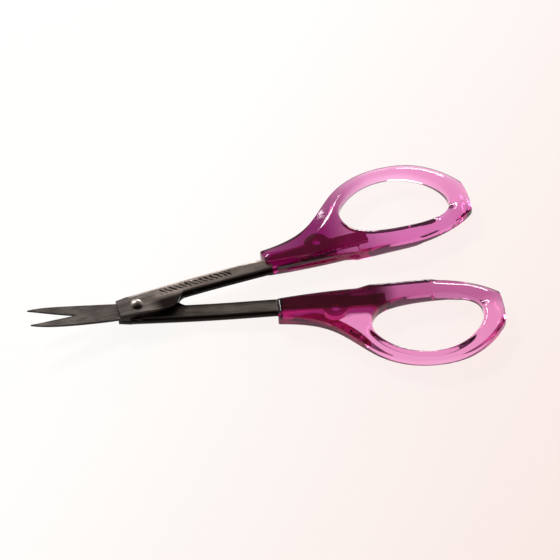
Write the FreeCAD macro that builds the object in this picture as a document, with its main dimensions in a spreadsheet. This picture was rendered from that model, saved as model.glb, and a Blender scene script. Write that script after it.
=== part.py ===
import FreeCAD, Part
import math
import os

import Sketcher

os.makedirs("parts", exist_ok=True)
Vec = FreeCAD.Vector
doc = FreeCAD.newDocument("craft_scissors")

# Curved-tip craft scissors, in millimetres. The pivot axis is Z through the origin, the blades
# slide on each other near Z = 0, the tips point to -X and the finger loops lie at +X.
# A half is drawn shut, with its handle on the +Y side, and is turned to its place at the end.
dimensions = {
    "restSwing": 5.2,
    "shankTurn": 3.9,
    "slideGap": 0.03,
    "plyThick": 0.75,
    "plyGap": 0.45,
    "shankWidth": 3.6,
    "shankOuter": 3.45,
    "legStep": 0.6,
    "foldStart": -1.6,
    "stepStart": 9.0,
    "stepEnd": 45.0,
    "channelEnd": 51.0,
    "stepFront": -4.6,
    "plyFront": -3.0,
    "plateBack": 14.0,
    "tipReach": 26.1,
    "bladeFlat": 4.5,
    "bladeSlope": 0.115,
    "bladeRise": 3.6,
    "tipThick": 0.45,
    "bandReach": 28.0,
    "tangEnd": 59.0,
    "tangHole": 1.1,
    "earPlace": 46.9,
    "earHeight": 6.4,
    "cutDepth": 16.0,
    "rivetShaft": 1.0,
    "rivetHead": 1.5,
    "headRise": 0.8,
    "tailRadius": 1.4,
    "tailThick": 0.2,
    "turnGap": 0.04,
    "handleThick": 4.5,
    "handleReach": 86.8,
    "handleTop": 25.0,
    "sleeveStart": 33.0,
    "slotEnd": 56.0,
    "bareStart": 1.55,
    "bareEnd": 41.5,
    "bareLeast": 0.1,
    "railRound": 1.3,
}

sheet = doc.addObject("Spreadsheet::Sheet", "Dims")
for row, (alias, value) in enumerate(dimensions.items(), start=1):
    sheet.set(f"A{row}", alias)
    sheet.set(f"B{row}", str(value))
    sheet.setAlias(f"B{row}", alias)
doc.recompute()

D = {alias: float(sheet.get(alias)) for alias in dimensions}
channelThick = 2 * D["plyThick"] + D["plyGap"]
topPlane = Vec(0, 0, 1)


def sketchOn(name, base=Vec(), turn=FreeCAD.Rotation()):
    sketch = doc.addObject("Sketcher::SketchObject", name)
    sketch.Placement = FreeCAD.Placement(base, turn)
    return sketch


def endNear(sketch, index, point):
    nearStart = (sketch.getPoint(index, 1) - point).Length < (sketch.getPoint(index, 2) - point).Length
    return 1 if nearStart else 2


def addPath(sketch, pieces, closed=True):
    """Add curves end to end; each piece is (curve, start, end)."""
    first = sketch.GeometryCount
    for curve, start, end in pieces:
        sketch.addGeometry(curve)
    last = sketch.GeometryCount - 1
    for number, (curve, start, end) in enumerate(pieces):
        index = first + number
        following = index + 1 if index < last else first
        if following == first and not closed:
            continue
        sketch.addConstraint(Sketcher.Constraint(
            "Coincident", index, endNear(sketch, index, end), following, endNear(sketch, following, end)))
    return first


def bindPoint(sketch, index, point, axis, formula):
    """Tie one coordinate of the end of a piece to the sheet."""
    kind = "DistanceX" if axis == "x" else "DistanceY"
    value = point.x if axis == "x" else point.y
    number = sketch.addConstraint(Sketcher.Constraint(
        kind, -1, 1, index, endNear(sketch, index, point), value))
    sketch.setExpression(f"Constraints[{number}]", formula)


def arcMiddle(start, heading, end):
    """Middle of the arc that leaves start along heading and reaches end."""
    chord = end - start
    across = Vec(-chord.y, chord.x, 0)
    turn = math.atan2(chord.x * heading.y - chord.y * heading.x, chord.dot(heading))
    return (start + end) * 0.5 + across * (0.5 * math.tan(turn / 2))


def smoothRun(points):
    """One smooth curve through the points."""
    points = [Vec(x, y, 0) for x, y in points]
    curve = Part.BSplineCurve()
    curve.interpolate(points)
    return [(curve, points[0], points[-1])]


def corners(*points):
    """Straight pieces through the points."""
    points = [Vec(*point) for point in points]
    return [(Part.LineSegment(start, end), start, end) for start, end in zip(points, points[1:])]


def arc(start, middle, end):
    return [(Part.Arc(start, middle, end), start, end)]


def extrude(name, sketch, lengthFormula, symmetric=False):
    solid = doc.addObject("Part::Extrusion", name)
    solid.Base = sketch
    solid.DirMode = "Normal"
    solid.Solid = True
    solid.Symmetric = symmetric
    solid.setExpression("LengthFwd", lengthFormula)
    return solid


def channel(name, slotted):
    """Folded sheet shank: a U section swept along a path that steps to the middle of the handle."""
    high = D["slideGap"] + channelThick / 2
    run = D["stepEnd"] - D["stepStart"]
    half = Vec(D["stepStart"] + run / 2, high / 2, 0)
    stepStart, stepEnd = Vec(D["stepStart"], high, 0), Vec(D["stepEnd"], 0, 0)
    ahead = Vec(1, 0, 0)
    start, end = Vec(D["foldStart"], high, 0), Vec(D["channelEnd"], 0, 0)
    path = sketchOn(f"{name}Path", turn=FreeCAD.Rotation(Vec(1, 0, 0), 90))
    bends = (arc(stepStart, arcMiddle(stepStart, ahead, half), half)
             + arc(half, arcMiddle(stepEnd, ahead * -1, half), stepEnd))
    first = addPath(path, corners(start, stepStart) + bends + corners(stepEnd, end), closed=False)
    bindPoint(path, first, start, "x", "Dims.foldStart")
    bindPoint(path, first, stepStart, "x", "Dims.stepStart")
    bindPoint(path, first + 3, stepEnd, "x", "Dims.stepEnd")
    bindPoint(path, first + 3, end, "x", "Dims.channelEnd")

    outer, inner = D["shankOuter"], D["shankOuter"] - D["shankWidth"]
    lowInner = inner - D["legStep"]
    radius = channelThick / 2
    slot = D["plyGap"] / 2
    bend = outer - radius
    profile = sketchOn(f"{name}Section", Vec(D["foldStart"], 0, high), FreeCAD.Rotation(Vec(1, 1, 1), 120))
    pieces = (corners((lowInner, -radius), (bend, -radius))
              + arc(Vec(bend, -radius, 0), Vec(outer, 0, 0), Vec(bend, radius, 0))
              + corners((bend, radius), (inner, radius)))
    if slotted:
        pieces += (corners((inner, radius), (inner, slot), (bend, slot))
                   + arc(Vec(bend, slot, 0), Vec(bend + slot, 0, 0), Vec(bend, -slot, 0))
                   + corners((bend, -slot), (lowInner, -slot), (lowInner, -radius)))
    else:
        pieces += corners((inner, radius), (inner, -slot), (lowInner, -slot), (lowInner, -radius))
    first = addPath(profile, pieces)
    corner = Vec(lowInner, -radius, 0)
    end = endNear(profile, first, corner)
    number = profile.addConstraint(Sketcher.Constraint("DistanceX", first, end, -1, 1, -lowInner))
    profile.setExpression(f"Constraints[{number}]", "Dims.shankWidth + Dims.legStep - Dims.shankOuter")

    sweep = doc.addObject("Part::Sweep", name)
    sweep.Sections = [profile]
    sweep.Spine = (path, ["Edge1", "Edge2", "Edge3", "Edge4"])
    sweep.Solid = True
    sweep.Frenet = False
    sweep.Placement = FreeCAD.Placement(Vec(), FreeCAD.Rotation(topPlane, D["shankTurn"]))
    sweep.setExpression("Placement.Rotation.Angle", "Dims.shankTurn")
    return sweep


def innerEdge(x):
    """Height of the shank's open edge above the mid line, in the half's shut frame."""
    turn = math.radians(D["shankTurn"])
    return x * math.tan(turn) + (D["shankOuter"] - D["shankWidth"]) / math.cos(turn)


def plate(name, height, heightFormula, front, inset, step):
    """One flat ply round the pivot, from the blade's root back into the folded shank."""
    back, meet, fold = D["plateBack"], 11.8, D["foldStart"]
    sketch = sketchOn(name + "Outline", Vec(0, 0, height))
    sketch.setExpression("Placement.Base.z", heightFormula)
    foot, shoulder = (front, inset - 2.4), (front, 2.7 + 0.2 * (front - D["plyFront"]) - inset)
    inBend = innerEdge(back) + D["shankWidth"] - channelThick / 2
    root, bend = (back, innerEdge(back) - step), (meet, innerEdge(meet) - step)
    crotch = smoothRun([bend, (10.3, inset - 1.0), (8.7, inset - 2.75), (6.4, inset - 3.2),
                        (3.0, inset - 2.8), (-1.0, inset - 2.5), foot])
    first = addPath(sketch, corners((back, inBend), root, bend) + crotch
                    + corners(foot, shoulder, (fold, 2.9 - inset), (fold + 0.7, 2.3), (back, inBend)))
    bindPoint(sketch, first, Vec(back, inBend, 0), "x", "Dims.plateBack")
    return extrude(name, sketch, "Dims.plyThick")


def blade(name, curve):
    """A pointed blade cut from a turned band, so that both halves slide on one round surface."""
    root = 1.0
    tip = (-D["tipReach"], -0.12)
    spineRoot, edgeRoot = (root, -2.25), (root, 3.3)
    outline = sketchOn(f"{name}Outline", Vec(0, 0, -D["cutDepth"] / 2))
    spine = smoothRun([spineRoot, (-4.6, -2.25), (-12.0, -1.95), (-19.0, -1.45), (-24.0, -0.72), tip])
    edge = smoothRun([tip, (-24.2, 0.02), (-19.4, 0.5), (-14.9, 0.88), (-9.0, 1.6), (-4.6, 2.35), edgeRoot])
    first = addPath(outline, spine + edge + corners(edgeRoot, spineRoot))
    bindPoint(outline, first + len(spine), Vec(*tip, 0), "x", "-Dims.tipReach")
    prism = extrude(f"{name}Prism", outline, "Dims.cutDepth")

    flat, reach, low = D["bladeFlat"], D["bandReach"], D["slideGap"]
    thick, rise = D["plyThick"], curve * D["bladeRise"]
    nearEnd = Vec(reach, low + rise, 0)
    farEnd = Vec(reach, low + rise + D["tipThick"], 0)
    ahead = Vec(1, curve * D["bladeSlope"], 0)
    band = sketchOn(f"{name}Band", turn=FreeCAD.Rotation(Vec(1, 0, 0), 90))
    nearStart, farStart = Vec(flat, low, 0), Vec(flat, low + thick, 0)
    first = addPath(band, corners((0, low), nearStart)
                    + arc(nearStart, arcMiddle(nearStart, ahead, nearEnd), nearEnd)
                    + corners(nearEnd, farEnd)
                    + arc(farEnd, arcMiddle(farStart, ahead, farEnd), farStart)
                    + corners(farStart, (0, low + thick), (0, low)))
    bindPoint(band, first, Vec(0, low, 0), "y", "Dims.slideGap")
    bindPoint(band, first + 4, Vec(0, low + thick, 0), "y", "Dims.slideGap + Dims.plyThick")
    bindPoint(band, first, nearStart, "x", "Dims.bladeFlat")
    bindPoint(band, first + 2, nearEnd, "x", "Dims.bandReach")
    turned = doc.addObject("Part::Revolution", f"{name}Turned")
    turned.Source = band
    turned.Axis = topPlane
    turned.Angle = 360
    turned.Solid = True

    common = doc.addObject("Part::MultiCommon", name)
    common.Shapes = [prism, turned]
    return common


def tang(name, bored):
    """Tang inside the handle: an ear round a hole on the fold's side, and a narrow end tab."""
    sketch = sketchOn(name + "Outline")
    root, end, middle = D["channelEnd"] - 1, D["tangEnd"], D["earPlace"]
    low, high, floor = innerEdge(D["channelEnd"]), D["earHeight"], 5.0
    earStart, earEnd = (middle + 2.9, high + 0.3), (middle - 3.1, high - 0.1)
    ear = arc(Vec(*earStart, 0), Vec(middle, high + 2.5, 0), Vec(*earEnd, 0))
    earRoot = (earEnd[0], floor)
    first = addPath(sketch, corners(earRoot, (root, floor), (root, low), (end, low), (end, high),
                                    (51.6, high), (50.6, 6.0), earStart)
                    + ear + corners(earEnd, earRoot))
    bindPoint(sketch, first + 2, Vec(end, low, 0), "x", "Dims.tangEnd")
    solid = extrude(name, sketch, "2 * Dims.plyThick + Dims.plyGap", symmetric=True)
    if not bored:
        return solid
    slit = sketchOn(name + "SlitOutline")
    depth = high - D["plyThick"]
    addPath(slit, corners((root, low - 1), (end + 1, low - 1), (end + 1, depth), (root, depth),
                          (root, low - 1)))
    opened = doc.addObject("Part::Cut", name + "Opened")
    opened.Base = solid
    opened.Tool = extrude(name + "Slit", slit, "Dims.plyGap", symmetric=True)
    return opened


def drill(name, base, radiusFormula, x="0 mm", y="0 mm"):
    """Bore a round hole right through along Z."""
    bore = doc.addObject("Part::Cylinder", name + "Bore")
    bore.setExpression("Radius", radiusFormula)
    bore.setExpression("Height", "Dims.cutDepth")
    bore.setExpression("Placement.Base.x", x)
    bore.setExpression("Placement.Base.y", y)
    bore.setExpression("Placement.Base.z", "-Dims.cutDepth / 2")
    cut = doc.addObject("Part::Cut", name)
    cut.Base = base
    cut.Tool = bore
    return cut


def tangHole(name, base):
    """Bore the ear, through which the moulding grips the tang."""
    return drill(name, base, "Dims.tangHole", "Dims.earPlace", "Dims.earHeight")


def placeHalf(solid, label, flipped):
    """Turn a finished half-frame solid to its rest place; the back half is rolled over X."""
    formula = "-Dims.restSwing; 0; 180" if flipped else "Dims.restSwing; 0; 0"
    solid.setExpression("Placement", "create(<<placement>>; create(<<vector>>; 0; 0; 0); "
                                     f"create(<<rotation>>; {formula}))")
    solid.Label = label
    return solid


def steelHalf(side, curve, holeFormula, flipped):
    """Blade, pivot plies, folded shank and tang of one half, fused and bored for the rivet."""
    low, high = D["slideGap"], D["slideGap"] + D["plyThick"] + D["plyGap"]
    pieces = [
        channel(f"{side}Channel", slotted=True),
        plate(f"{side}InnerPly", low, "Dims.slideGap", D["plyFront"], 0.1, D["legStep"]),
        plate(f"{side}OuterPly", high, "Dims.slideGap + Dims.plyThick + Dims.plyGap", D["stepFront"], 0, 0),
        blade(f"{side}Blade", curve),
        tang(f"{side}Tang", bored=True),
    ]
    fused = doc.addObject("Part::MultiFuse", f"{side}Steel")
    fused.Shapes = pieces
    fused.Refine = True
    bored = drill(f"{side}BladeHalf", tangHole(f"{side}TangBored", fused), holeFormula)
    return placeHalf(bored, f"{side.lower()}_blade", flipped)


def edgesAtHeight(shape, height):
    """Names of the edges that lie in the plane of that height."""
    return [f"Edge{number}" for number, edge in enumerate(shape.Edges, start=1)
            if abs(edge.BoundBox.ZMin - height) < 1e-4 and abs(edge.BoundBox.ZMax - height) < 1e-4]


def bodySketch(body, name, plane):
    sketch = body.newObject("Sketcher::SketchObject", name)
    sketch.AttachmentSupport = [(body.Origin.OriginFeatures[plane], "")]
    sketch.MapMode = "FlatFace"
    return sketch


def handle(side, flipped):
    """Moulded handle: a finger loop that runs into a sleeve round the tang."""
    start, reach, top = D["sleeveStart"], D["handleReach"], D["handleTop"]
    body = doc.addObject("PartDesign::Body", f"{side}Moulding")
    outline = bodySketch(body, f"{side}Loop", 3)
    outside = smoothRun([(start, 7.9), (39.0, 8.9), (45.0, 11.35), (50.2, 15.8), (55.3, 20.7),
                         (61.6, 24.0), (69.3, top), (76.6, 23.6), (82.2, 20.0), (86.6, 14.6)])
    heel = smoothRun([(86.6, 14.6), (reach, 10.5), (86.4, 5.8)])
    inside = smoothRun([(86.4, 5.8), (82.5, 3.3), (77.8, 1.5), (72.5, 0.35), (68.0, 0.06)])
    toSleeve = smoothRun([(52.6, 0.95), (43.5, 1.1), (start, 1.85)])
    first = addPath(outline, outside + heel + inside
                    + corners((68.0, 0.06), (55.6, 0.06), (52.6, 0.95)) + toSleeve
                    + corners((start, 1.85), (start, 7.9)))
    bindPoint(outline, first, Vec(start, 7.9, 0), "x", "Dims.sleeveStart")
    pad = body.newObject("PartDesign::Pad", f"{side}Slab")
    pad.Profile = outline
    pad.Midplane = True
    pad.setExpression("Length", "Dims.handleThick")
    outline.Visibility = False
    doc.recompute()

    hole = bodySketch(body, f"{side}Finger", 3)
    rim = Part.BSplineCurve()
    rim.interpolate([Vec(x, y, 0) for x, y in [
        (54.9, 11.9), (57.2, 7.6), (62.6, 5.6), (70.0, 4.95), (77.3, 5.6), (81.0, 7.9), (81.6, 12.2),
        (78.4, 17.9), (73.0, 21.4), (66.8, 22.1), (60.6, 20.1), (56.3, 16.4)]], PeriodicFlag=True)
    hole.addGeometry(rim)
    pocket = body.newObject("PartDesign::Pocket", f"{side}FingerHole")
    pocket.Profile = hole
    pocket.Midplane = True
    pocket.setExpression("Length", "2 * Dims.handleThick")
    doc.recompute()

    rounded = body.newObject("PartDesign::Fillet", f"{side}Rounding")
    face = D["handleThick"] / 2
    rims = edgesAtHeight(pocket.Shape, face) + edgesAtHeight(pocket.Shape, -face)
    rounded.Base = (pocket, rims)
    rounded.setExpression("Radius", "Dims.railRound")
    doc.recompute()

    groove = sketchOn(f"{side}GrooveOutline", Vec(0, 0, -D["plyGap"] / 2))
    end, before, bare = D["slotEnd"], start - 1, D["bareEnd"]
    least = D["bareLeast"]
    first = addPath(groove, corners((before, -1), (end, -1), (end, innerEdge(end) + least),
                                    (bare, innerEdge(bare) + least),
                                    (before, innerEdge(before) + D["bareStart"]), (before, -1)))
    bindPoint(groove, first, Vec(end, -1, 0), "x", "Dims.slotEnd")
    core = doc.addObject("Part::MultiFuse", f"{side}Core")
    core.Shapes = [channel(f"{side}CoreChannel", slotted=False), tang(f"{side}CoreTang", bored=False),
                   extrude(f"{side}Groove", groove, "Dims.handleThick")]
    core.Refine = True
    cut = doc.addObject("Part::Cut", f"{side}HandleHalf")
    cut.Base = body
    cut.Tool = tangHole(f"{side}CoreBored", core)
    return placeHalf(cut, f"{side.lower()}_handle", flipped)


def rivet():
    """Domed rivet, turned about the pivot axis; its low tail keeps clear of the back half."""
    body = doc.addObject("PartDesign::Body", "Rivet")
    sketch = bodySketch(body, "RivetSection", 4)
    shaft, head, rise, tail = D["rivetShaft"], D["rivetHead"], D["headRise"], D["tailRadius"]
    seat = D["slideGap"] + channelThick
    tailTop = -seat - D["slideGap"] / 2
    tailLow = tailTop - D["tailThick"]
    rim = 0.12
    crown, edge = Vec(0, seat + rise, 0), Vec(head, seat + rim, 0)
    dome = arc(edge, arcMiddle(crown, Vec(1, 0, 0), edge), crown)
    first = addPath(sketch, corners((0, tailLow), (tail - rim, tailLow), (tail, tailLow + rim),
                                    (tail, tailTop), (shaft, tailTop), (shaft, seat), (head, seat),
                                    (head, seat + rim))
                    + dome + corners((0, seat + rise), (0, tailLow)))
    bindPoint(sketch, first + 3, Vec(shaft, tailTop, 0), "x", "Dims.rivetShaft")
    bindPoint(sketch, first + 5, Vec(head, seat, 0), "x", "Dims.rivetHead")
    bindPoint(sketch, first + 5, Vec(head, seat, 0), "y", "Dims.slideGap + 2 * Dims.plyThick + Dims.plyGap")
    turned = body.newObject("PartDesign::Revolution", "RivetTurned")
    turned.Profile = sketch
    turned.ReferenceAxis = (sketch, ["V_Axis"])
    turned.Angle = 360
    body.Label = "pivot_rivet"
    return body


nodes = [
    steelHalf("Front", 1, "Dims.rivetShaft", flipped=False),
    steelHalf("Back", -1, "Dims.rivetShaft + Dims.turnGap", flipped=True),
    handle("Front", flipped=False),
    handle("Back", flipped=True),
    rivet(),
]
doc.recompute()

for item in doc.Objects:
    if "Invalid" in item.State or "Error" in item.State:
        raise RuntimeError(f"{item.Name} did not recompute: {item.State}")
    shape = getattr(item, "Shape", None)
    if shape is not None and (shape.isNull() or not shape.isValid()):
        raise RuntimeError(f"{item.Name} has a bad shape")

for node in nodes:
    box = node.Shape.BoundBox
    print(node.Label, len(node.Shape.Solids), round(node.Shape.Volume, 2),
          [round(v, 2) for v in (box.XMin, box.YMin, box.ZMin, box.XMax, box.YMax, box.ZMax)])
    node.Shape.exportStep(os.path.join("parts", f"{node.Label}.step"))
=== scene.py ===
import bpy, bmesh, math
from mathutils import Matrix, Vector
from mathutils.kdtree import KDTree


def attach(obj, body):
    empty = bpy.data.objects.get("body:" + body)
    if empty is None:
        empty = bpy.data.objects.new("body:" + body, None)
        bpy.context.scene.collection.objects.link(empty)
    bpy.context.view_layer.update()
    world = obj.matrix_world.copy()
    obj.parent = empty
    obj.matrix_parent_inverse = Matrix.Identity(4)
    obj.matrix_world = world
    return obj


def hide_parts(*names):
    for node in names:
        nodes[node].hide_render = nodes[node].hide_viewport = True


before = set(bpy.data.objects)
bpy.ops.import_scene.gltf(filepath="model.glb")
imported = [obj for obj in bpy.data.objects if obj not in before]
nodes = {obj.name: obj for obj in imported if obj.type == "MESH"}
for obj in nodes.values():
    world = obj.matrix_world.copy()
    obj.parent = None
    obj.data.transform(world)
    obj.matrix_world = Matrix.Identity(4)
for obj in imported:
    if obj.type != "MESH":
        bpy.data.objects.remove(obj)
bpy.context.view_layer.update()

mm = 0.001
restSwing = 5.2             # degrees that each half turns from shut to the rest pose
print("frame loaded", sorted(nodes))


def newMaterial(name):
    mat = bpy.data.materials.new(name)
    mat.use_nodes = True
    tree = mat.node_tree
    tree.nodes.clear()
    out = tree.nodes.new("ShaderNodeOutputMaterial")
    shader = tree.nodes.new("ShaderNodeBsdfPrincipled")
    tree.links.new(shader.outputs[0], out.inputs[0])
    return mat, tree, shader


def add(tree, kind, **settings):
    node = tree.nodes.new(kind)
    for key, value in settings.items():
        setattr(node, key, value)
    return node


def ramp(tree, source, stops):
    node = tree.nodes.new("ShaderNodeValToRGB")
    tree.links.new(source, node.inputs[0])
    elements = node.color_ramp.elements
    for index, (place, colour) in enumerate(stops):
        stop = elements[index] if index < 2 else elements.new(place)
        stop.position = place
        stop.color = (*colour, 1)
    return node.outputs[0]


# a smooth 0 to 1 step of a value between two places
def fade(tree, source, start, end):
    node = add(tree, "ShaderNodeMapRange", interpolation_type="SMOOTHSTEP")
    node.inputs["From Min"].default_value = start
    node.inputs["From Max"].default_value = end
    tree.links.new(source, node.inputs[0])
    return node.outputs[0]


def calc(tree, operation, first, second):
    node = add(tree, "ShaderNodeMath", operation=operation)
    for socket, value in ((node.inputs[0], first), (node.inputs[1], second)):
        if isinstance(value, (int, float)):
            socket.default_value = value
        else:
            tree.links.new(value, socket)
    return node.outputs[0]


def tinted(tree, colour, factor, tint, blend="MULTIPLY"):
    node = add(tree, "ShaderNodeMix", data_type="RGBA", blend_type=blend)
    tree.links.new(factor, node.inputs["Factor"])
    if isinstance(colour, tuple):
        node.inputs[6].default_value = (*colour, 1)
    else:
        tree.links.new(colour, node.inputs[6])
    node.inputs[7].default_value = (*tint, 1)
    return node.outputs[2]


# object coordinates in millimetres, turned so that +x runs out along one half
# and +y is its outer side; gives the vector and the places along and across the half
def halfCoords(tree, side, degrees):
    coord = add(tree, "ShaderNodeTexCoord")
    turned = add(tree, "ShaderNodeMapping")
    turned.inputs["Scale"].default_value = (1000, 1000 * side, 1000)
    turned.inputs["Rotation"].default_value = (0, 0, -math.radians(degrees))
    tree.links.new(coord.outputs["Object"], turned.inputs[0])
    parts = add(tree, "ShaderNodeSeparateXYZ")
    tree.links.new(turned.outputs[0], parts.inputs[0])
    return turned.outputs[0], parts.outputs[0], parts.outputs[1]


def noise(tree, coords, scale, detail, stretch=(1, 1, 1)):
    squeeze = add(tree, "ShaderNodeMapping")
    squeeze.inputs["Scale"].default_value = stretch
    tree.links.new(coords, squeeze.inputs[0])
    node = add(tree, "ShaderNodeTexNoise")
    node.inputs["Scale"].default_value = scale
    node.inputs["Detail"].default_value = detail
    tree.links.new(squeeze.outputs[0], node.inputs["Vector"])
    return node.outputs[0]


def addBump(tree, shader, height, strength, depth):
    bump = add(tree, "ShaderNodeBump")
    bump.inputs["Strength"].default_value = strength
    bump.inputs["Distance"].default_value = depth * mm
    tree.links.new(height, bump.inputs["Height"])
    tree.links.new(bump.outputs[0], shader.inputs["Normal"])


def addRoughness(tree, shader, source, span, low, high):
    rough = add(tree, "ShaderNodeMapRange")
    rough.inputs["From Min"].default_value = span[0]
    rough.inputs["From Max"].default_value = span[1]
    rough.inputs["To Min"].default_value = low
    rough.inputs["To Max"].default_value = high
    tree.links.new(source, rough.inputs[0])
    tree.links.new(rough.outputs[0], shader.inputs["Roughness"])


def useMaterial(obj, mat):
    obj.data.materials.clear()
    obj.data.materials.append(mat)


steel = {
    "dark": (0.20, 0.172, 0.155),
    "light": (0.46, 0.40, 0.365),
    "rivetTone": 1.7,
    "grainScale": 3.8,
    "grainStretch": (0.03, 1, 1),
    "grainShare": 0.55,
    "cloudScale": 0.16,
    "cloudShare": 0.45,
    "mixSpan": (0.32, 0.68),
    "roughSpan": (0.3, 0.7),
    "roughLow": 0.24,
    "roughHigh": 0.42,
    "bump": 0.07,
    "bumpDepth": 0.02,
    "shank": 9.1,               # degrees that each shank points out from the mid line
    # painted shade on the down-facing edges, and its strength
    "edge": (0.04, 0.034, 0.032),
    "edgeShare": 0.95,
    "buried": (0.95, 0.01, 0.42),   # painted light: the tang inside the handle is coloured magenta, standing in for the pink light its plastic filters
    "buriedFrom": 34.4,
    "buriedDulls": 0.8,
    # painted light and shade: the front shank is brightened and the back shank darkened, lit and
    # shaded copies of one steel
    "shankSpan": (-4, 9),
    "frontShankPaintedLight": (1.70, 1.62, 1.56),
    "backShankPaintedShade": (0.66, 0.64, 0.61),
    "heel": (0.06, 0.05, 0.05),     # painted shade: the rounded heel of each pivot plate is darkened, standing in for its shade and dark reflection
    "heelAlong": (1.5, 6.0),
    "heelAcross": (0.8, -1.2),
    "hatch": (0.10, 0.09, 0.08),
    "hatchSpan": (6.3, 24.6),
    "hatchMiddle": 1.5,
    "hatchHalf": 0.9,
    "hatchSoft": 0.3,
    "hatchSideSoft": 0.2,
    "hatchCut": (0.42, 0.58),
    "wave": {"Scale": 0.5, "Distortion": 3.5, "Detail": 2, "Detail Scale": 1.6},
}


def brushedSteel(name, side, tone=1.0, buried=True, hatched=False):
    mat, tree, shader = newMaterial(name)
    link = tree.links.new
    coords, along, across = halfCoords(tree, side, steel["shank"])
    grain = noise(tree, coords, steel["grainScale"], 4, steel["grainStretch"])
    cloud = noise(tree, coords, steel["cloudScale"], 5)
    mixed = calc(tree, "ADD", calc(tree, "MULTIPLY", grain, steel["grainShare"]),
                 calc(tree, "MULTIPLY", cloud, steel["cloudShare"]))
    shades = [tuple(c * tone for c in steel[shade]) for shade in ("dark", "light")]
    colour = ramp(tree, mixed, zip(steel["mixSpan"], shades))

    # painted shade: faces turned towards -y or -x, the lower cut and folded edges, are darkened in
    # the colour
    facing = add(tree, "ShaderNodeSeparateXYZ")
    link(add(tree, "ShaderNodeTexCoord").outputs["Normal"], facing.inputs[0])
    low = calc(tree, "MAXIMUM", fade(tree, facing.outputs[1], -0.1, -0.6),
               fade(tree, facing.outputs[0], -0.5, -0.9))
    low = calc(tree, "MULTIPLY", low, steel["edgeShare"])
    colour = tinted(tree, colour, low, steel["edge"])

    if buried:
        # painted light on the front shank, painted shade on the back shank
        shank = fade(tree, along, *steel["shankSpan"])
        colour = tinted(tree, colour, shank, steel["frontShankPaintedLight" if side > 0 else "backShankPaintedShade"])
        # painted shade on the heel of the pivot plate
        heel = calc(tree, "MULTIPLY", fade(tree, along, *steel["heelAlong"]),
                    fade(tree, across, *steel["heelAcross"]))
        colour = tinted(tree, colour, heel, steel["heel"])
        # painted light: magenta colour and less metal on the tang inside the handle
        inside = fade(tree, along, steel["buriedFrom"], steel["buriedFrom"] + 0.5)
        colour = tinted(tree, colour, inside, steel["buried"], "MIX")
        dulled = calc(tree, "MULTIPLY", inside, steel["buriedDulls"])
        link(calc(tree, "SUBTRACT", 1, dulled), shader.inputs["Metallic"])
    else:
        shader.inputs["Metallic"].default_value = 1

    height = grain
    if hatched:
        wave = add(tree, "ShaderNodeTexWave", bands_direction="DIAGONAL")
        for socket, value in steel["wave"].items():
            wave.inputs[socket].default_value = value
        link(coords, wave.inputs["Vector"])
        first, last = steel["hatchSpan"]
        half, soft = steel["hatchHalf"], steel["hatchSoft"]
        offset = calc(tree, "ABSOLUTE", calc(tree, "SUBTRACT", across, steel["hatchMiddle"]), 0)
        inBand = calc(tree, "MULTIPLY", fade(tree, along, first, first + soft),
                      fade(tree, along, last, last - soft))
        inBand = calc(tree, "MULTIPLY", inBand,
                      fade(tree, offset, half, half - steel["hatchSideSoft"]))
        inBand = calc(tree, "MULTIPLY", inBand, fade(tree, facing.outputs[2], 0.5, 0.9))
        etched = calc(tree, "MULTIPLY", inBand, fade(tree, wave.outputs["Fac"], *steel["hatchCut"]))
        colour = tinted(tree, colour, etched, steel["hatch"])
        height = calc(tree, "SUBTRACT", grain, etched)

    link(colour, shader.inputs["Base Color"])
    addRoughness(tree, shader, mixed, steel["roughSpan"], steel["roughLow"], steel["roughHigh"])
    addBump(tree, shader, height, steel["bump"], steel["bumpDepth"])
    return mat


useMaterial(nodes["front_blade"], brushedSteel("frontSteel", 1, hatched=True))
useMaterial(nodes["back_blade"], brushedSteel("backSteel", -1))
useMaterial(nodes["pivot_rivet"],
            brushedSteel("rivetSteel", 1, tone=steel["rivetTone"], buried=False))
print("steel done")


plastic = {
    "ior": 1.49,
    "roughness": 0.03,
    "soak": (0.91, 0.0, 0.58),
    "density": 125.0,
    "clear": (0.97, 0.60, 0.85),
    "flowScale": 0.22,
    "flowShift": 3,
    "bump": 0.15,
    "bumpDepth": 0.1,
    # painted shade: the inner rail is tinted deeper than the outer one, and the sleeve the deepest,
    # where the plastic lies in shade
    "frontInnerShade": (0.80, 0.58, 0.78),
    "backInnerShade": (0.60, 0.40, 0.54),
    "frontSleeveShade": (0.26, 0.012, 0.19),
    "backSleeveShade": (0.12, 0.003, 0.06),
    "innerAcross": (9.5, 6.5),
    "innerAlong": (54, 58),
    "frontDeep": (70, 49),
    "backDeep": (65, 58),
    "backBand": (5.0, 3.9),
    "bandSlope": 0.06,
}


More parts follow.
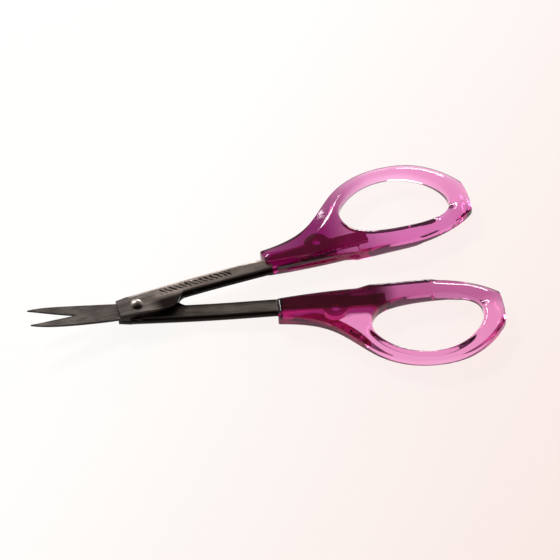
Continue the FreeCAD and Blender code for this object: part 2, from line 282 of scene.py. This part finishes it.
def pinkPlastic(name, side):
    mat, tree, shader = newMaterial(name)
    link = tree.links.new
    shader.inputs["Transmission Weight"].default_value = 1
    shader.inputs["IOR"].default_value = plastic["ior"]
    coords, along, across = halfCoords(tree, side, restSwing)
    flow = noise(tree, coords, plastic["flowScale"], 2)
    # painted shade on the inner rail
    innerShade = calc(tree, "MULTIPLY", fade(tree, across, *plastic["innerAcross"]),
                 fade(tree, along, *plastic["innerAlong"]))
    colour = tinted(tree, plastic["clear"], innerShade,
                    plastic["frontInnerShade" if side > 0 else "backInnerShade"])
    # painted shade in the sleeve, around the steel tang
    wander = calc(tree, "ADD", along, calc(tree, "MULTIPLY", flow, plastic["flowShift"]))
    if side > 0:
        sleeveShade = fade(tree, wander, *plastic["frontDeep"])
    else:
        band = calc(tree, "SUBTRACT", across, calc(tree, "MULTIPLY", along, plastic["bandSlope"]))
        sleeveShade = calc(tree, "MULTIPLY", fade(tree, wander, *plastic["backDeep"]),
                    fade(tree, band, *plastic["backBand"]))
    colour = tinted(tree, colour, sleeveShade, plastic["frontSleeveShade" if side > 0 else "backSleeveShade"])
    link(colour, shader.inputs["Base Color"])
    addRoughness(tree, shader, flow, (0, 1), plastic["roughness"], plastic["roughness"] * 2)
    addBump(tree, shader, flow, plastic["bump"], plastic["bumpDepth"])
    soak = add(tree, "ShaderNodeVolumeAbsorption")
    soak.inputs["Color"].default_value = (*plastic["soak"], 1)
    soak.inputs["Density"].default_value = plastic["density"]
    link(soak.outputs[0], tree.nodes["Material Output"].inputs["Volume"])
    return mat


handle = {
    "voxel": 0.2,
    "soften": 14,
    "half": 2.25,
    "loopThin": 0.94,       # the loop is a little thinner than the sleeve
    "thinFrom": 50,
    "thinTo": 62,
    # the outer wall, which the facet is measured from: what lies outside the finger hole
    "wallHalf": 0.5,
    "wallFrom": (72, 7),
    "holeMiddle": (68.3, 13.5),
    "holeRadii": (15.0, 10.0),
    # width and drop of the sloping facet along the outer side, at distances out from the pivot
    "faceted": ((34, 2.3, 1.1), (43, 4.3, 1.25), (50, 4.0, 1.25), (60, 2.4, 1.2), (90, 2.2, 1.1)),
    "plain": ((34, 1.2, 0.5), (42, 1.4, 0.6), (50, 4.0, 1.2), (60, 2.4, 1.2), (90, 2.2, 1.1)),
}

# plastic added to each handle, drawn shut: an outline with its low and high faces. The tang's
# space is filled, so that the plastic wraps the steel with no gap.
fills = {
    "tang": ([(33.6, 3.9), (41.5, 2.95), (51.2, 3.6), (58.8, 3.6), (58.8, 6.2), (51.5, 6.5),
              (49.5, 7.2), (46.9, 8.7), (44, 6.5), (33.6, 5.7)], -1.1, 1.1),
    "backGroove": ([(33.4, 2.1), (50.0, 1.3), (56.2, 0.7), (56.2, 4.2), (33.4, 4.2)], -0.6, 2.0),
    "frontLip": ([(34.5, 1.9), (50.0, 1.3), (56.2, 0.7), (56.2, 3.3), (50.0, 3.0),
                  (34.5, 1.95)], -0.6, 1.2),
}


def smoothStep(low, high, value):
    t = min(max((value - low) / (high - low), 0), 1)
    return t * t * (3 - 2 * t)


def facetAt(stops, x):
    for (start, *first), (end, *last) in zip(stops, stops[1:]):
        if x <= end:
            blend = smoothStep(start, end, x)
            return [a + (b - a) * blend for a, b in zip(first, last)]
    return stops[-1][1:]


def addPrism(shell, outline, low, high, turn):
    corners = [shell.verts.new((x * mm, y * mm, low * mm)) for x, y in outline]
    base = shell.faces.new(corners)
    grown = bmesh.ops.extrude_face_region(shell, geom=[base])
    lifted = [v for v in grown["geom"] if isinstance(v, bmesh.types.BMVert)]
    bmesh.ops.translate(shell, verts=lifted, vec=(0, 0, (high - low) * mm))
    verts = corners + lifted
    bmesh.ops.transform(shell, matrix=turn, verts=verts)
    faces = {f for v in verts for f in v.link_faces}
    bmesh.ops.recalc_face_normals(shell, faces=list(faces))


# cuts the sloping facet along the outer side and thins the loop
def facetHandle(shell, toShut):
    spots = {v: toShut @ v.co / mm for v in shell.verts}
    wall = []
    (holeX, holeY), (longRadius, shortRadius) = handle["holeMiddle"], handle["holeRadii"]
    fromX, fromY = handle["wallFrom"]
    for p in spots.values():
        inHole = ((p.x - holeX) / longRadius) ** 2 + ((p.y - holeY) / shortRadius) ** 2 < 1
        if abs(p.z) < handle["wallHalf"] and not inHole and (p.y > fromY or p.x > fromX):
            wall.append(Vector((p.x, p.y, 0)))
    tree = KDTree(len(wall))
    for index, p in enumerate(wall):
        tree.insert(p, index)
    tree.balance()
    back = toShut.inverted()
    for v, p in spots.items():
        gap = tree.find(Vector((p.x, p.y, 0)))[2]
        width, drop = facetAt(handle["faceted" if p.z > 0 else "plain"], p.x)
        thin = 1 + (handle["loopThin"] - 1) * smoothStep(handle["thinFrom"], handle["thinTo"], p.x)
        limit = handle["half"] * thin - max(0, 1 - gap / width) * drop
        z = p.z * thin
        if abs(z) > limit:
            z = math.copysign(limit, z)
        v.co = back @ (Vector((p.x, p.y, z)) * mm)


def handleSkin(name, node, side):
    mesh = nodes[node].data.copy()
    piece = bpy.data.objects.new(name, mesh)
    bpy.context.scene.collection.objects.link(piece)
    # the back half is the front half rolled over the mid line
    roll = Matrix.Identity(4) if side > 0 else Matrix.Rotation(math.pi, 4, "X")
    fromShut = Matrix.Rotation(math.radians(restSwing) * side, 4, "Z") @ roll
    shell = bmesh.new()
    shell.from_mesh(mesh)
    bmesh.ops.remove_doubles(shell, verts=shell.verts, dist=1e-6)
    for fill in ("tang", "frontLip" if side > 0 else "backGroove"):
        addPrism(shell, *fills[fill], fromShut)
    shell.to_mesh(mesh)
    shell.free()
    remesh = piece.modifiers.new("skin", "REMESH")
    remesh.mode = "VOXEL"
    remesh.voxel_size = handle["voxel"] * mm
    graph = bpy.context.evaluated_depsgraph_get()
    shaped = bpy.data.meshes.new_from_object(piece.evaluated_get(graph))
    piece.modifiers.clear()
    shell = bmesh.new()
    shell.from_mesh(shaped)
    facetHandle(shell, fromShut.inverted())
    for repeat in range(handle["soften"]):
        bmesh.ops.smooth_vert(shell, verts=shell.verts, factor=0.5,
                              use_axis_x=True, use_axis_y=True, use_axis_z=True)
    for face in shell.faces:
        face.smooth = True
    shell.to_mesh(shaped)
    shell.free()
    piece.data = shaped
    useMaterial(piece, pinkPlastic(f"{name}Plastic", side))
    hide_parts(node)
    return piece


frontHandle = handleSkin("frontHandle", "front_handle", 1)
backHandle = handleSkin("backHandle", "back_handle", -1)
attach(frontHandle, "front_half")
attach(backHandle, "back_half")
print("handles done", len(frontHandle.data.polygons), len(backHandle.data.polygons))


stage = {
    "size": 3.0,
    "white": (1.0, 0.99, 0.975),
    "blush": (0.95, 0.80, 0.765),
    "glow": 0.94,
    "low": -2.27,               # just under the handles, in millimetres
    "base": (0.10, 0.095, 0.09),
    "rough": 0.7,
    "slant": 35,
    "shift": 0.15,
    "scale": 5.0,
    "whiteUntil": 0.12,
    "blushFrom": 0.80,
}

floorMesh = bpy.data.meshes.new("floor")
floorShape = bmesh.new()
bmesh.ops.create_grid(floorShape, x_segments=1, y_segments=1, size=stage["size"] / 2)
floorShape.to_mesh(floorMesh)
floorShape.free()
floor = bpy.data.objects.new("floor", floorMesh)
bpy.context.scene.collection.objects.link(floor)
floor.location.z = stage["low"] * mm
mat, tree, shader = newMaterial("paleFloor")
shader.inputs["Base Color"].default_value = (*stage["base"], 1)
shader.inputs["Roughness"].default_value = stage["rough"]
place = add(tree, "ShaderNodeTexCoord")
slant = add(tree, "ShaderNodeMapping")
slant.inputs["Rotation"].default_value = (0, 0, math.radians(stage["slant"]))
slant.inputs["Location"].default_value = (stage["shift"], 0, 0)
slant.inputs["Scale"].default_value = (stage["scale"], stage["scale"], 1)
tree.links.new(place.outputs["Object"], slant.inputs[0])
split = add(tree, "ShaderNodeSeparateXYZ")
tree.links.new(slant.outputs[0], split.inputs[0])
shades = [(stage["whiteUntil"], stage["white"]), (stage["blushFrom"], stage["blush"])]
tree.links.new(ramp(tree, split.outputs[0], shades), shader.inputs["Emission Color"])
shader.inputs["Emission Strength"].default_value = stage["glow"]
useMaterial(floor, mat)


# each soft box: place, width, height and power; all of them look at the same point
softBoxes = {
    "key": ((-0.20, 0.60, 0.38), 0.40, 0.10, 2.4),
    "glint": ((0.26, 0.60, 0.08), 0.16, 0.14, 0.9),
}
lightAim = (0.03, 0, 0)

for name, (place, width, height, power) in softBoxes.items():
    data = bpy.data.lights.new(name, "AREA")
    data.shape = "RECTANGLE"
    data.size, data.size_y = width, height
    data.energy = power
    lamp = bpy.data.objects.new(name, data)
    bpy.context.scene.collection.objects.link(lamp)
    lamp.location = place
    lamp.rotation_euler = (Vector(lightAim) - Vector(place)).to_track_quat("-Z", "Y").to_euler()

# the room: pale near the horizon, dim higher up, where the flat steel faces look,
# and dimmer again in front
room = {
    "shades": [(0.0, (0.60, 0.58, 0.57)), (0.95, (0.12, 0.115, 0.115)),
               (0.30, (0.52, 0.50, 0.49)), (0.50, (0.17, 0.16, 0.155))],
    "front": (0.50, 0.48, 0.48),
    "frontSpan": (0.2, -0.5),
    "frontShare": 0.8,
}
world = bpy.data.worlds.new("studio")
bpy.context.scene.world = world
world.use_nodes = True
sky = world.node_tree
heading = add(sky, "ShaderNodeTexCoord")
facing = add(sky, "ShaderNodeSeparateXYZ")
sky.links.new(heading.outputs["Generated"], facing.inputs[0])
glowing = ramp(sky, facing.outputs[2], room["shades"])
front = calc(sky, "MULTIPLY", fade(sky, facing.outputs[1], *room["frontSpan"]), room["frontShare"])
sky.links.new(tinted(sky, glowing, front, room["front"]), sky.nodes["Background"].inputs[0])

view = {
    "target": (35.2166 * mm, 1.8325 * mm, 0.0),
    "azimuth": -12.2,
    "elevation": 49.5,
    "distance": 1.0294,
    "lens": 276.43,
    "sensor": 36,
}
camData = bpy.data.cameras.new("camera")
camData.lens = view["lens"]
camData.sensor_width = view["sensor"]
camera = bpy.data.objects.new("camera", camData)
bpy.context.scene.collection.objects.link(camera)
azimuth, elevation = math.radians(view["azimuth"]), math.radians(view["elevation"])
away = Vector((math.sin(azimuth) * math.cos(elevation),
               -math.cos(azimuth) * math.cos(elevation), math.sin(elevation)))
camera.location = Vector(view["target"]) + away * view["distance"]
camera.rotation_euler = (-away).to_track_quat("-Z", "Y").to_euler()
bpy.context.scene.camera = camera
bpy.context.scene.view_settings.view_transform = "Standard"
print("stage done")
